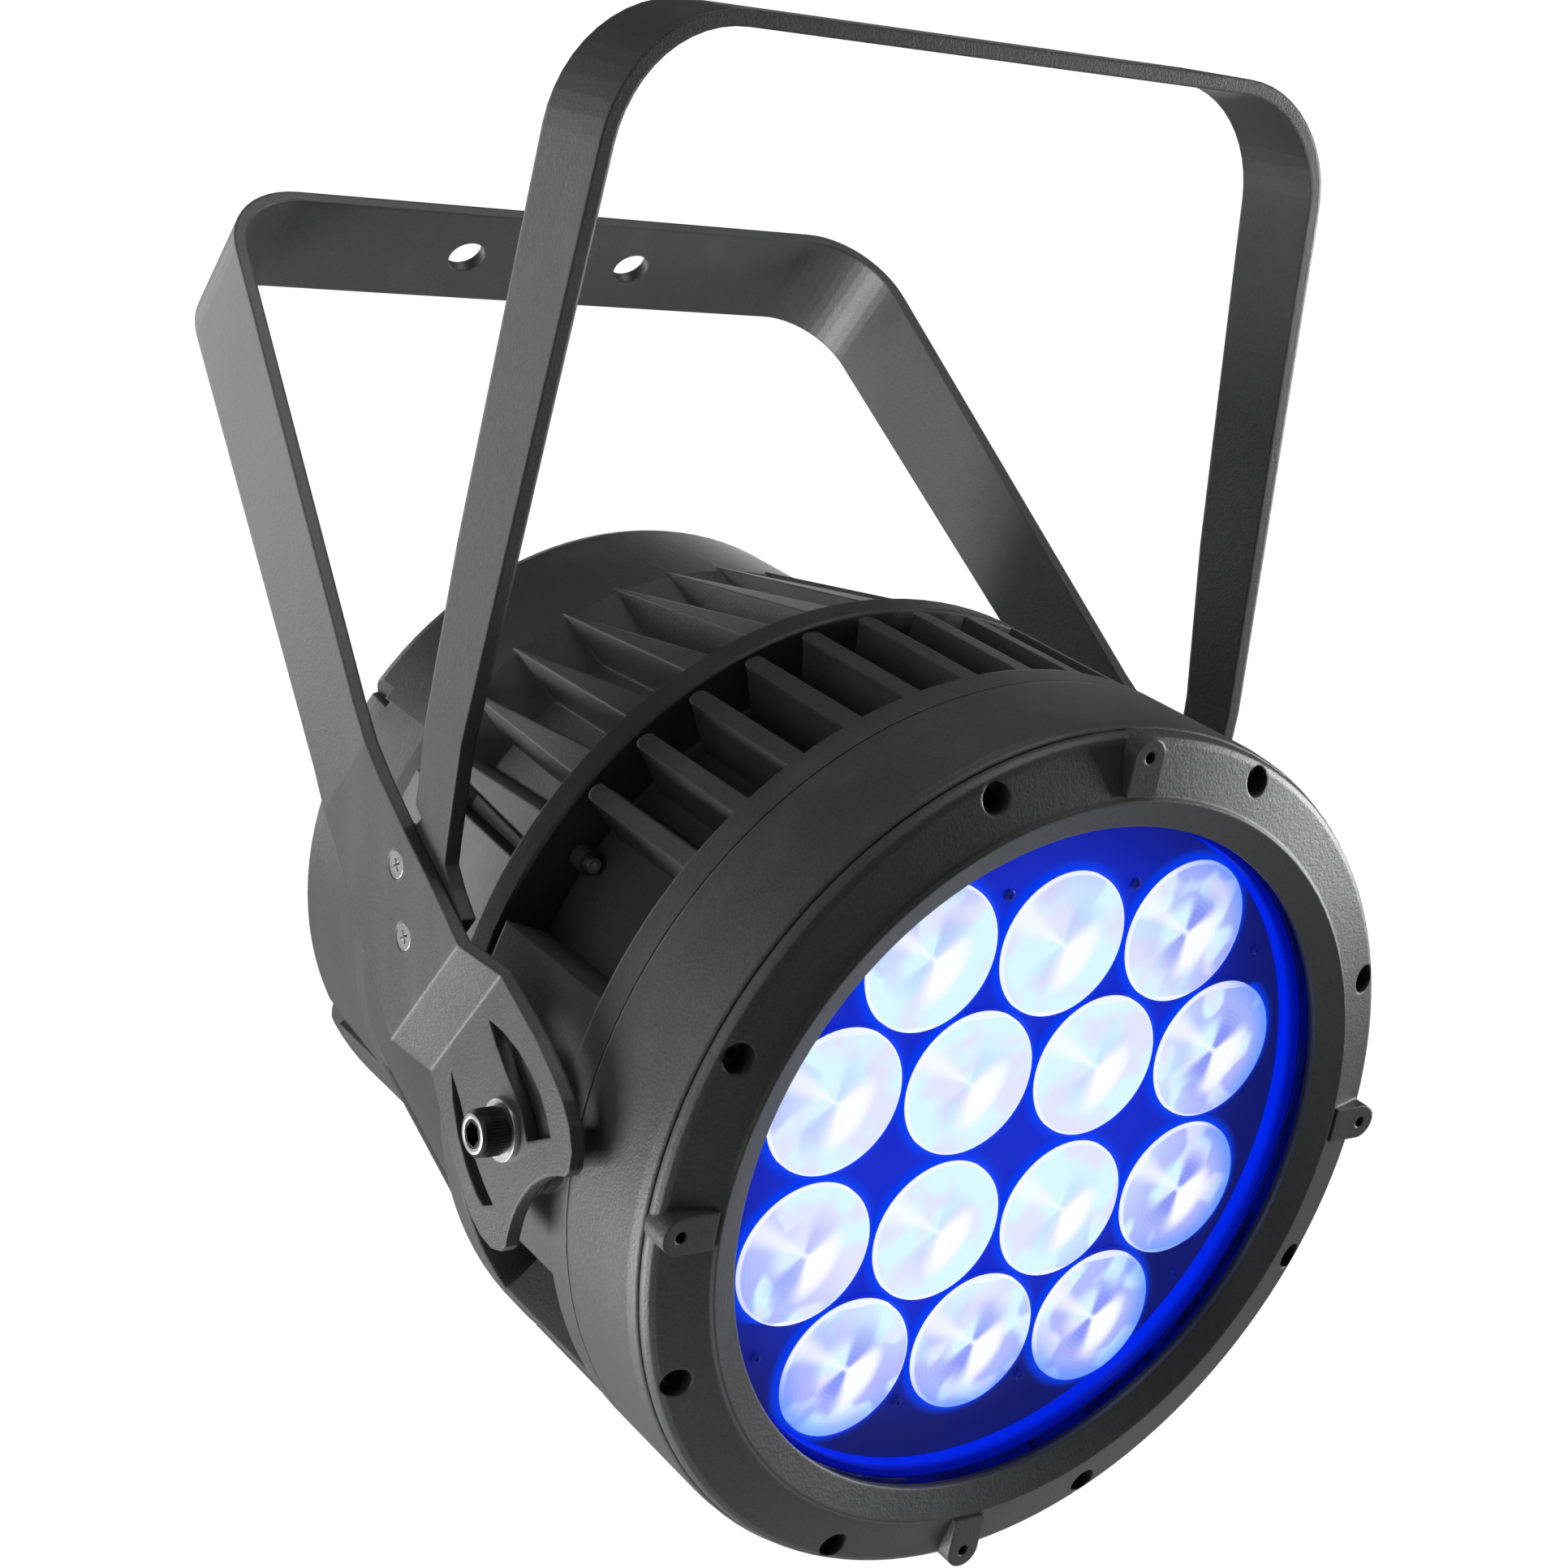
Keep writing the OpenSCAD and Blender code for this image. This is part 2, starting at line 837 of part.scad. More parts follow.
module connector_screws() {
    color(steel)
    in_head()
        at_connectors()
            for (s = [-1, 1])
                translate([s * 9.5, s * 12, 0]) {
                    rod(1.55, cap_back - 5.1, cap_front + 2);
                    rod(2.7, cap_back - 6.6, cap_back - 5);
                }
}

module fuse_holder() {
    color(dark)
    in_head()
        translate([fuse_at[0], fuse_at[1], 0])
            difference() {
                union() {
                    rod(6, cap_back - 1, cap_front + 24);
                    rod(8, cap_back - 5, cap_back);
                }
                translate([-5, -0.7, cap_back - 6]) cube([10, 1.4, 2.2]);
            }
}

module vent_plug() {
    color(dark)
    in_head()
        translate([vent_at[0], vent_at[1], 0])
            difference() {
                union() {
                    rod(5.8, cap_back - 1, cap_front + 5);
                    rod(8.5, cap_back - 3.5, cap_back);
                }
                for (i = [0 : 5])
                    rotate([0, 0, i * 60])
                        translate([5, 0, 0]) rod(1, cap_back - 5, cap_back - 2);
            }
}

module safety_eye() {
    color(steel)
    in_head()
        difference() {
            union() {
                translate([-15, eye_y - 6, cap_back - 3]) cube([30, 12, 3]);
                for (s = [-1, 1])
                    translate([s * 9, eye_y, 0]) {
                        rod(2, cap_back - 1, cap_front + 3);
                        rod(4, cap_front + 0.1, cap_front + 3);
                    }
                translate([0, eye_y + 2, cap_back - 12])
                    rotate([90, 0, 0])
                        cylinder(r = 9, h = 4);
                translate([-9, eye_y - 2, cap_back - 12]) cube([18, 4, 10]);
            }
            translate([0, eye_y + 3, cap_back - 12])
                rotate([90, 0, 0])
                    cylinder(r = 5.5, h = 6);
        }
}

// ---- light engine ----
module led_board() {
    color([0.9, 0.9, 0.88])
    in_head()
        difference() {
            rod(86, web_front + 0.1, web_front + 2);
            translate([40, 0, 0]) rod(5, web_front - cut, web_front + 3);
        }
}

module at_lenses() {
    for (p = lens_places)
        translate([p[0], p[1], 0])
            children();
}

module led_emitters() {
    color([0.9, 0.85, 0.4])
    in_head()
        at_lenses() {
            translate([-4.5, -4.5, web_front + 2]) cube([9, 9, 1.2]);
            rod(3.4, web_front + 3, web_front + 4.2);
        }
}

module collimators() {
    color([0.8, 0.85, 0.95, 0.5])
    in_head()
        at_lenses()
            translate([0, 0, web_front + 4.4])
                cylinder(r1 = 5.5, r2 = 11, h = 13);
}

// ---- zoom carrier ----
module lens_carrier() {
    color([0.05, 0.07, 0.3])
    in_head()
        difference() {
            union() {
                rod(carrier_r, -6, -2);
                ring(98.2, carrier_r, -15, -5);
                both_sides() translate([rod_x, 0, 0]) rod(5.5, -34, -5);
                for (s = [-1, 1]) translate([0, s * screw_y, 0]) rod(6, -32, -5);
            }
            at_lenses() rod(lens_d / 2 + 0.1, -7, -1);
            both_sides() translate([rod_x, 0, 0]) rod(rod_r + run, -35, -7);
            for (s = [-1, 1]) translate([0, s * screw_y, 0]) rod(rod_r + run, -33, -6.5);
        }
}

module zoom_lenses() {
    color([0.75, 0.85, 1])
    in_head()
        at_lenses()
            rotate_extrude()
                polygon([
                    [0, -15], [6, -14.4], [12, -12.6], [16.5, -10], [lens_d / 2 - 1, -6.4],
                    [lens_d / 2, -5.6], [lens_d / 2, -0.5], [lens_d / 2 - 0.5, 0], [0, 0]
                ]);
}

module guide_rods() {
    color(steel)
    in_head()
        both_sides()
            translate([rod_x, 0, 0])
                rod(rod_r, web_back, -7 - zoom_travel - 1.5);
}

module lead_screw(s) {
    color(steel)
    in_head()
        translate([0, s * screw_y, 0])
            difference() {
                union() {
                    rod(rod_r, -90, -6.5 - zoom_travel - 1);
                    rod(5, -64, -58);
                }
                translate([rod_r + 0.8, -6, -62]) cube([4, 12, 2]);
            }
}

module lead_screw_upper() {
    lead_screw(1);
}

module lead_screw_lower() {
    lead_screw(-1);
}

module zoom_motors() {
    color(steel)
    in_head()
        for (s = [-1, 1])
            translate([0, s * screw_y, 0])
                difference() {
                    union() {
                        rod(12.4, -92, web_back - 1.2);
                        translate([-19, -4, web_back - 1.2]) cube([38, 8, 1.2]);
                    }
                    rod(rod_r + run, -91, web_back + cut);
                    for (e = [-1, 1]) translate([e * 16, 0, 0]) rod(1.6, web_back - 3, web_back + cut);
                }
}

module motor_screws() {
    color(steel)
    in_head()
        for (s = [-1, 1], e = [-1, 1])
            translate([e * 16, s * screw_y, 0]) {
                rod(1.5, web_back - 2, web_back);
                rod(2.8, web_back - 3.2, web_back - 1.2);
            }
}

// ---- electronics ----
module at_pillars() {
    for (x = [-62, 62], y = [-42, 42])
        translate([x, y, 0])
            children();
}

module board_pillars() {
    color(steel)
    in_head()
        at_pillars() {
            translate([0, 0, board_top]) cylinder(d = 7, h = web_back - board_top, $fn = 6);
            rod(1.8, tray_top - tray_t - 4, board_top + 1);
        }
}

module driver_board() {
    color([0.1, 0.35, 0.15])
    in_head()
        difference() {
            union() {
                translate([-70, -50, board_top - board_t]) cube([140, 100, board_t]);
                for (i = [0 : 3]) translate([-42 + i * 24, 18, board_top - 0.4]) cube([14, 14, 10]);
                for (i = [0 : 2]) translate([-34 + i * 34, -24, 0]) rod(8, board_top - 0.5, board_top + 18);
            }
            at_pillars() rod(1.9, board_top - board_t - cut, board_top + cut);
        }
}

module electronics_tray() {
    color([0.7, 0.7, 0.7])
    in_head()
        difference() {
            union() {
                translate([-72, -52, tray_top - tray_t]) cube([144, 104, tray_t]);
                at_pillars() rod(4, tray_top - 0.2, board_top - board_t - 0.1);
            }
            at_pillars() rod(1.9, tray_top - tray_t - cut, board_top);
        }
}

module power_supply() {
    color([0.65, 0.66, 0.68])
    in_head()
        difference() {
            translate([-55, -45, supply_end]) cube([110, 84, tray_top - tray_t - 0.1 - supply_end]);
            for (i = [-4 : 4])
                translate([i * 10 - 1.5, -28, supply_end - cut]) cube([3, 50, 3]);
        }
}

module control_board() {
    color([0.1, 0.35, 0.15])
    in_head() {
        translate([-38, 8, cap_front + 7.5]) cube([76, 54, 1.6]);
        for (i = [0 : 3])
            at_button(i)
                translate([-3, -3, cap_front + 3.6]) cube([6, 6, 4]);
        for (x = [-34, 34], y = [12, 58])
            translate([x, y, 0]) rod(2.5, cap_front - 0.4, cap_front + 7.6);
    }
}

mounting_yoke();
floor_bracket();
bracket_screws();
pivot_bolts();
pivot_washers();
friction_discs();
pivot_inserts();
bezel_ring();
bezel_screws();
bezel_gasket();
front_glass();
glass_gasket();
front_shell();
light_well();
heatsink_casting();
rear_gasket();
rear_housing();
housing_screws();
rear_cap();
rear_cap_screws();
led_board();
led_emitters();
collimators();
lens_carrier();
zoom_lenses();
guide_rods();
lead_screw_upper();
lead_screw_lower();
zoom_motors();
motor_screws();
board_pillars();
driver_board();
electronics_tray();
power_supply();
control_board();
display_window();
menu_button();
up_button();
down_button();
enter_button();
power_inlet();
power_outlet();
data_inlet();
data_outlet();
socket_contacts();
connector_screws();
fuse_holder();
vent_plug();
safety_eye();
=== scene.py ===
import json
import math

import bmesh
import bpy
from mathutils import Matrix, Vector


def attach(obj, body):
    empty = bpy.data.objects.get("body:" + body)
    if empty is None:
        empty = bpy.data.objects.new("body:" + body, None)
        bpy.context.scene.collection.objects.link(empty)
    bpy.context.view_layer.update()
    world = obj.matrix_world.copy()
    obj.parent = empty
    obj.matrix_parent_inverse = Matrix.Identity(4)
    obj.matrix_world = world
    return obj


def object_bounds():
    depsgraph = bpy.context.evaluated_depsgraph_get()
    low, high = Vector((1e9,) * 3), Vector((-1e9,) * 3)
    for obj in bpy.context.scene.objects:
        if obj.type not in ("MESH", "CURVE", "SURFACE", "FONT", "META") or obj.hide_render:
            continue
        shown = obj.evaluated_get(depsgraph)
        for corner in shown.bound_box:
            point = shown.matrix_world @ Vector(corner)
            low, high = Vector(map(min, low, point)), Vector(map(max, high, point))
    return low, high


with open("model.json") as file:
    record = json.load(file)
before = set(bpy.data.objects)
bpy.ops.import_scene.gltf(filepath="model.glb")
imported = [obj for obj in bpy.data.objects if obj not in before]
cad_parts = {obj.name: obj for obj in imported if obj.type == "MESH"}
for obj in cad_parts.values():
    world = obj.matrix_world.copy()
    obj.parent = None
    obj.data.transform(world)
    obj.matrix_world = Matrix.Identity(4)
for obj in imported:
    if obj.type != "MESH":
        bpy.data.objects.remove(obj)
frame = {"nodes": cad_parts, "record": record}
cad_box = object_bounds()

# ---- places: the lamp head's own axes, measured in millimetres from the lens faces ----
TILT = math.radians(90 + 17.7)
PIVOT_DEPTH = 48.3
JOINTS = frame["record"]["behaviour"]["joints"]
PIVOT = Vector(next(j for j in JOINTS if j["name"] == "head_tilt")["pos_m"])
HEAD_TURN = Matrix.Rotation(TILT, 4, "X")
HEAD = Matrix.Translation(PIVOT) @ HEAD_TURN @ Matrix.Translation((0, 0, PIVOT_DEPTH / 1000))
HEAD_ORIGIN = HEAD.translation

LENS_PITCH = 46.0
LENS_RADIUS = 21.7
INNER_ROW = 23.0
OUTER_ROW = 62.8
LENS_ROWS = [(OUTER_ROW, 3), (INNER_ROW, 4), (-INNER_ROW, 4), (-OUTER_ROW, 3)]
LENS_PLACES = [((i - (n - 1) / 2) * LENS_PITCH, y) for y, n in LENS_ROWS for i in range(n)]
CAP_BACK = -232.0
WINDOW_RADIUS = 102.6
GLASS_MIDDLE = 6.6
BRIGHTEST = (-14.0, 14.0)


# ---- shader values that take part in sums ----
class Value:
    def __init__(self, finish, socket):
        self.finish = finish
        self.socket = socket

    def math(self, operation, first, second=0.0):
        return self.finish.node("ShaderNodeMath", {"operation": operation}, {0: first, 1: second}, 0)

    def __add__(self, other):
        return self.math("ADD", self, other)

    def __radd__(self, other):
        return self.math("ADD", other, self)

    def __sub__(self, other):
        return self.math("SUBTRACT", self, other)

    def __rsub__(self, other):
        return self.math("SUBTRACT", other, self)

    def __mul__(self, other):
        return self.math("MULTIPLY", self, other)

    def __rmul__(self, other):
        return self.math("MULTIPLY", other, self)

    def __truediv__(self, other):
        return self.math("DIVIDE", self, other)

    def __pow__(self, other):
        return self.math("POWER", self, other)

    def __gt__(self, other):
        return self.math("GREATER_THAN", self, other)

    def __lt__(self, other):
        return self.math("LESS_THAN", self, other)

    def absolute(self):
        return self.math("ABSOLUTE", self)

    def within(self, limit):
        return self.math("MINIMUM", self.math("MAXIMUM", self, 0.0 - limit), limit)

    def wave(self):
        return self.math("SINE", self)

    def nearest(self):
        return self.math("ROUND", self)

    def smooth(self, low, high):
        sockets = {0: self, 1: low, 2: high, 3: 0.0, 4: 1.0}
        return self.finish.node("ShaderNodeMapRange", {"interpolation_type": "SMOOTHSTEP"}, sockets, 0)


class Finish:
    def __init__(self, name, **sockets):
        self.material = bpy.data.materials.new(name)
        self.material.use_nodes = True
        self.tree = self.material.node_tree
        self.tree.nodes.clear()
        self.output = self.tree.nodes.new("ShaderNodeOutputMaterial")
        self.shader = self.tree.nodes.new("ShaderNodeBsdfPrincipled")
        self.tree.links.new(self.shader.outputs[0], self.output.inputs[0])
        self.set(self.shader, {k.replace("_", " "): v for k, v in sockets.items()})

    def set(self, node, sockets):
        for key, value in sockets.items():
            socket = node.inputs[key]
            if isinstance(value, Value):
                self.tree.links.new(value.socket, socket)
            elif isinstance(value, tuple) and len(value) == 3 and socket.type == "RGBA":
                socket.default_value = (*value, 1.0)
            else:
                socket.default_value = value

    def node(self, kind, settings, sockets, result):
        node = self.tree.nodes.new(kind)
        for key, value in settings.items():
            setattr(node, key, value)
        self.set(node, sockets)
        return Value(self, node.outputs[result])

    def place(self, spread=(1.0, 1.0, 1.0), on_head=False):
        here = self.node("ShaderNodeTexCoord", {}, {}, "Object")
        if on_head:
            here = self.node(
                "ShaderNodeMapping",
                {"vector_type": "TEXTURE"},
                {"Vector": here, "Location": tuple(HEAD_ORIGIN), "Rotation": (TILT, 0.0, 0.0)},
                0,
            )
        if spread != (1.0, 1.0, 1.0):
            here = self.node("ShaderNodeVectorMath", {"operation": "MULTIPLY"}, {0: here, 1: spread}, 0)
        return here

    def head_millimetres(self):
        """Across, up and forward from the middle of the lens faces."""
        parts = self.tree.nodes.new("ShaderNodeSeparateXYZ")
        self.set(parts, {0: self.place((1000.0, 1000.0, 1000.0), on_head=True)})
        return [Value(self, parts.outputs[i]) for i in range(3)]

    def point(self, x, y, z):
        return self.node("ShaderNodeCombineXYZ", {}, {0: x, 1: y, 2: z}, 0)

    def noise(self, place, scale, detail=2.0, roughness=0.5):
        sockets = {"Vector": place, "Scale": scale, "Detail": detail, "Roughness": roughness}
        return self.node("ShaderNodeTexNoise", {}, sockets, 0)

    def cells(self, place, scale):
        return self.node("ShaderNodeTexVoronoi", {"feature": "F1"}, {"Vector": place, "Scale": scale}, 0)

    def blend(self, factor, first, second):
        return self.node("ShaderNodeMix", {"data_type": "RGBA"}, {0: factor, 6: first, 7: second}, 2)

    def bump(self, height, strength, distance, soft_edge=None):
        sockets = {"Height": height, "Strength": strength, "Distance": distance}
        if soft_edge is not None:
            sockets["Normal"] = soft_edge
        return self.node("ShaderNodeBump", {}, sockets, 0)

    def edges(self, radius):
        return self.node("ShaderNodeBevel", {"samples": 4}, {"Radius": radius}, 0)

    def edge_wear(self, soft_edge):
        flat = self.node("ShaderNodeNewGeometry", {}, {}, "Normal")
        sockets = {0: soft_edge, 1: flat}
        same = self.node("ShaderNodeVectorMath", {"operation": "DOT_PRODUCT"}, sockets, "Value")
        return (1.0 - same).smooth(0.02, 0.25)


def powder_coat(name, colour, light, grain=1.0, radius=0.0008):
    """Fine textured powder coat: a pebbled skin, faint patches and thinner paint on the edges."""
    f = Finish(name)
    here = f.place()
    soft_edge = f.edges(radius)
    pebbles = f.noise(here, 1500.0 / grain, 3.0, 0.6)
    ripples = f.noise(here, 420.0, 2.0)
    patches = f.noise(here, 14.0, 3.0, 0.55)
    rubbed = f.noise(f.place((30.0, 30.0, 6.0)), 1.5, 4.0).smooth(0.52, 0.78)
    wear = f.edge_wear(soft_edge) * f.noise(here, 160.0, 3.0).smooth(0.35, 0.7)
    tone = f.blend(patches.smooth(0.3, 0.7), colour, tuple(c * 1.16 for c in colour))
    tone = f.blend(pebbles.smooth(0.3, 0.75) * 0.75, tone, tuple(c * 0.66 for c in colour))
    tone = f.blend(rubbed * 0.18, tone, light)
    tone = f.blend(wear * 0.2, tone, light)
    f.set(f.shader, {
        "Base Color": tone,
        "Roughness": 0.37 + 0.12 * patches - 0.08 * wear,
        "Specular IOR Level": 0.5,
        "Normal": f.bump(pebbles + ripples * 0.6, 0.42, 0.00022 * grain, soft_edge),
    })
    return f.material


def plain_metal(name, colour, dark, rough, along=(1.0, 1.0, 30.0), metallic=1.0):
    """Turned or plated steel with fine tool marks, stains in random patches and softened edges."""
    f = Finish(name, Metallic=metallic)
    here = f.place()
    soft_edge = f.edges(0.0003)
    marks = f.noise(f.place(along), 260.0, 3.0)
    stains = f.noise(here, 120.0, 4.0, 0.6)
    tone = f.blend(stains.smooth(0.35, 0.75) * 0.6, colour, dark)
    f.set(f.shader, {
        "Base Color": tone,
        "Roughness": rough + 0.14 * marks + 0.08 * stains,
        "Normal": f.bump(marks, 0.25, 0.00006, soft_edge),
    })
    return f.material


def moulded(name, colour, rough, grain=900.0, strength=0.25, coat=0.0):
    """Moulded plastic or rubber with a spark-eroded grain and slight shade changes."""
    f = Finish(name, Coat_Weight=coat)
    here = f.place()
    soft_edge = f.edges(0.0004)
    texture = f.noise(here, grain, 2.0)
    patches = f.noise(here, 30.0, 3.0)
    tone = f.blend(patches.smooth(0.3, 0.75) * 0.7, colour, tuple(c * 1.35 + 0.004 for c in colour))
    f.set(f.shader, {
        "Base Color": tone,
        "Roughness": rough + 0.14 * patches,
        "Normal": f.bump(texture, strength, 0.00012, soft_edge),
    })
    return f.material


def circuit_board(name, colour, track):
    f = Finish(name)
    here = f.place(on_head=True)
    soft_edge = f.edges(0.0002)
    lanes = f.cells(here, 260.0).smooth(0.28, 0.36)
    pads = f.cells(here, 520.0).smooth(0.16, 0.1)
    tone = f.blend(lanes * 0.7, colour, track)
    tone = f.blend(pads, tone, (0.72, 0.70, 0.62))
    f.set(f.shader, {
        "Base Color": tone,
        "Roughness": 0.36 + 0.1 * lanes,
        "Normal": f.bump(lanes + pads, 0.3, 0.0001, soft_edge),
    })
    return f.material


def clear_glass(name):
    """Thin clear sheet: light goes through it, and its edge inside the bezel glows a dim blue."""
    f = Finish(name, Base_Color=(0.001, 0.002, 0.01), Roughness=0.03)
    across, up, depth = f.head_millimetres()
    edge = ((across * across + up * up) ** 0.5).smooth(WINDOW_RADIUS, WINDOW_RADIUS + 0.8)
    bands = (1.0 - (depth - GLASS_MIDDLE).absolute().smooth(0.2, 0.9)) * 0.8
    glow = f.blend(bands, (0.0005, 0.003, 0.12), (0.0, 0.006, 0.5))
    smears = f.noise(f.place((1.0, 2.4, 1.0), on_head=True), 18.0, 4.0, 0.6)
    f.set(f.shader, {
        "Specular IOR Level": 0.2,
        "Roughness": 0.02 + 0.05 * smears.smooth(0.4, 0.8),
        "Alpha": 0.05 + 0.93 * edge,
        "Emission Color": f.blend(edge, (0.0, 0.0, 0.0), glow),
        "Emission Strength": 1.0,
    })
    return f.material


def lens_axes(f):
    """Place in the nearest lens, in lens radii, a number for that lens, and how far out it lies in mm."""
    across, up, _ = f.head_millimetres()
    outer = up.absolute() > (INNER_ROW + OUTER_ROW) / 2
    upper = up > 0.0
    row = (INNER_ROW + (OUTER_ROW - INNER_ROW) * outer) * (2.0 * upper - 1.0)
    half = LENS_PITCH / 2
    shift = half * (1.0 - outer)
    column = ((across - shift) / LENS_PITCH).nearest()
    last = half * 3
    centre = (column * LENS_PITCH + shift).within(last - half * outer)
    aside, above = across - BRIGHTEST[0], up - BRIGHTEST[1]
    out = (aside * aside + above * above) ** 0.5
    return (across - centre) / LENS_RADIUS, (up - row) / LENS_RADIUS, centre * 0.08 + row * 0.61, out


def lit_lens(name):
    """A lens with the light behind it: nearly white, with a soft violet bow tie and folds, bluer far out."""
    f = Finish(name, Base_Color=(0.02, 0.03, 0.08), Roughness=0.1)
    x, y, which, out = lens_axes(f)
    reach = (x * x + y * y) ** 0.5
    along = x * 0.5 + y * 0.87
    aside = x * 0.87 - y * 0.5
    folds = f.noise(f.point(along, aside * 1.3, which), 1.25, 1.5, 0.4)
    clouds = f.noise(f.point(x, y, which + 5.0), 1.3, 2.0, 0.5)
    far = out.smooth(48.0, 86.0)
    slant = aside.absolute() / (along.absolute() + 0.05)
    petals = (1.0 - slant.smooth(0.2, 0.75)) * reach.smooth(0.0, 0.08) * (1.0 - reach.smooth(0.3, 0.8))
    cross_slant = along.absolute() / (aside.absolute() + 0.03)
    wedge = (1.0 - cross_slant.smooth(0.02, 0.34)) * (aside < 0.0)
    aside_gap = (aside - 0.27) / 0.32
    along_gap = (along + 0.05) / 0.6
    glare = 1.0 - (aside_gap * aside_gap + along_gap * along_gap).smooth(0.15, 1.1)
    wash = (folds + 0.1 * far).smooth(0.51, 0.6) * reach.smooth(0.28, 0.6) * out.smooth(54.0, 86.0)
    deep = out.smooth(80.0, 102.0) * reach.smooth(0.55, 1.0)
    rings = (reach * 95.0).wave() * 0.5 + 0.5
    tone = f.blend(clouds.smooth(0.42, 0.62), (0.70, 0.95, 1.0), (0.77, 0.79, 0.98))
    tone = f.blend(wash * 0.85, tone, (0.38, 0.40, 0.97))
    tone = f.blend(wedge * 0.7 + glare, tone, (1.0, 1.0, 1.0))
    tone = f.blend(petals * (0.2 + 0.8 * far), tone, (0.24, 0.29, 0.93))
    tone = f.blend(rings * 0.1 * far, tone, (0.62, 0.68, 1.0))
    tone = f.blend(deep * 0.75, tone, (0.06, 0.27, 1.0))
    tone = f.blend(reach.smooth(0.95, 0.985) * (0.8 - 0.8 * deep), tone, (0.93, 0.97, 1.0))
    f.set(f.shader, {"Emission Color": tone, "Emission Strength": 1.08, "Specular IOR Level": 0.3})
    return f.material


def lit_plate(name):
    """The plate between the lenses: strong blue, brightest close to each lens and navy far out."""
    f = Finish(name, Base_Color=(0.001, 0.002, 0.02), Roughness=0.5)
    f.set(f.shader, {"Specular IOR Level": 0.12})
    x, y, _, out = lens_axes(f)
    reach = (x * x + y * y) ** 0.5
    halo = 1.0 - reach.smooth(0.99, 1.2)
    haze = f.noise(f.place(on_head=True), 22.0, 3.0)
    tone = f.blend(out.smooth(58.0, 108.0), (0.004, 0.022, 0.66), (0.006, 0.009, 0.11))
    tone = f.blend(haze * 0.25, tone, (0.004, 0.016, 0.40))
    tone = f.blend(halo * 0.85, tone, (0.0, 0.055, 1.0))
    f.set(f.shader, {"Emission Color": tone, "Emission Strength": 1.05})
    return f.material


def lit_well(name):
    """The reflector wall round the lenses: saturated blue, brightest in a band near the glass."""
    f = Finish(name, Base_Color=(0.001, 0.002, 0.04), Roughness=0.35)
    f.set(f.shader, {"Specular IOR Level": 0.1})
    depth = f.head_millimetres()[2]
    band = depth.smooth(-9.0, -2.0) * (1.0 - depth.smooth(0.0, 4.0))
    haze = f.noise(f.place(on_head=True), 16.0, 3.0)
    tone = f.blend(band * (0.6 + 0.4 * haze), (0.0, 0.004, 0.30), (0.0, 0.024, 1.0))
    f.set(f.shader, {"Emission Color": tone, "Emission Strength": 1.0})
    return f.material


def lit_display(name):
    """A small character display: dim blue glass with rows of generic bars."""
    f = Finish(name, Base_Color=(0.004, 0.006, 0.01), Roughness=0.12)
    x, y, _ = f.head_millimetres()
    rows = ((y * 1.4).wave() > 0.2) * ((y - 44.0).absolute() < 6.4)
    bars = f.noise(f.place((600.0, 40.0, 1.0), on_head=True), 1.0, 0.0) > 0.47
    tone = f.blend(rows * bars * (x.absolute() < 20.0), (0.004, 0.02, 0.09), (0.25, 0.5, 0.9))
    f.set(f.shader, {"Emission Color": tone, "Emission Strength": 0.5})
    return f.material


CHARCOAL = (0.060, 0.060, 0.062)
WORN = (0.15, 0.15, 0.152)
finishes = {
    "charcoal_paint": powder_coat("charcoal_powder_coat", CHARCOAL, WORN, 1.0, 0.0013),
    "charcoal_casting": powder_coat("charcoal_coat_on_casting", CHARCOAL, WORN, 1.15, 0.0011),
    "black_steel": plain_metal(
        "blackened_steel", (0.03, 0.03, 0.032), (0.012, 0.012, 0.012), 0.3, metallic=0.7
    ),
    "bright_steel": plain_metal("plated_steel", (0.78, 0.78, 0.78), (0.5, 0.5, 0.49), 0.2),
    "black_rubber": moulded("black_rubber", (0.012, 0.012, 0.012), 0.7, 700.0),
    "clear_glass": clear_glass("clear_glass"),
    "lens_plastic": lit_lens("lit_lens"),
    "blue_plate": lit_plate("lit_plate"),
    "lit_well": lit_well("lit_reflector"),
    "circuit_board": circuit_board("green_circuit_board", (0.012, 0.09, 0.035), (0.03, 0.17, 0.06)),
    "white_board": circuit_board("white_circuit_board", (0.72, 0.72, 0.70), (0.60, 0.60, 0.58)),
    "led_phosphor": moulded("phosphor", (0.80, 0.66, 0.16), 0.3, coat=0.5),
    "bare_aluminium": plain_metal("bare_aluminium", (0.66, 0.67, 0.68), (0.5, 0.5, 0.51), 0.34),
    "motor_steel": plain_metal("motor_can", (0.28, 0.28, 0.29), (0.16, 0.16, 0.16), 0.32),
    "contact_brass": plain_metal("contact_brass", (0.80, 0.60, 0.25), (0.6, 0.42, 0.15), 0.22),
    "black_plastic": moulded("black_plastic", (0.018, 0.018, 0.019), 0.45),
    "blue_plastic": moulded("blue_plastic", (0.02, 0.07, 0.34), 0.42),
    "grey_plastic": moulded("grey_plastic", (0.26, 0.26, 0.27), 0.45),
    "button_rubber": moulded("button_rubber", (0.055, 0.055, 0.058), 0.6),
    "display_plastic": lit_display("smoked_display"),
}
slot_of = {s["node"]: s["material_slot"] for s in frame["record"]["subparts"]}
for node, part in frame["nodes"].items():
    for place in part.material_slots:
        place.link = "OBJECT"
        place.material = finishes[slot_of[node]]


# ---- modelling helpers ----
def start(made_by, **how):
    """Adds one primitive with nothing else selected and opens it for editing."""
    bpy.ops.object.select_all(action="DESELECT")
    made_by(**how)
    bpy.ops.object.mode_set(mode="EDIT")
    bpy.ops.mesh.select_all(action="DESELECT")
    return bpy.context.active_object


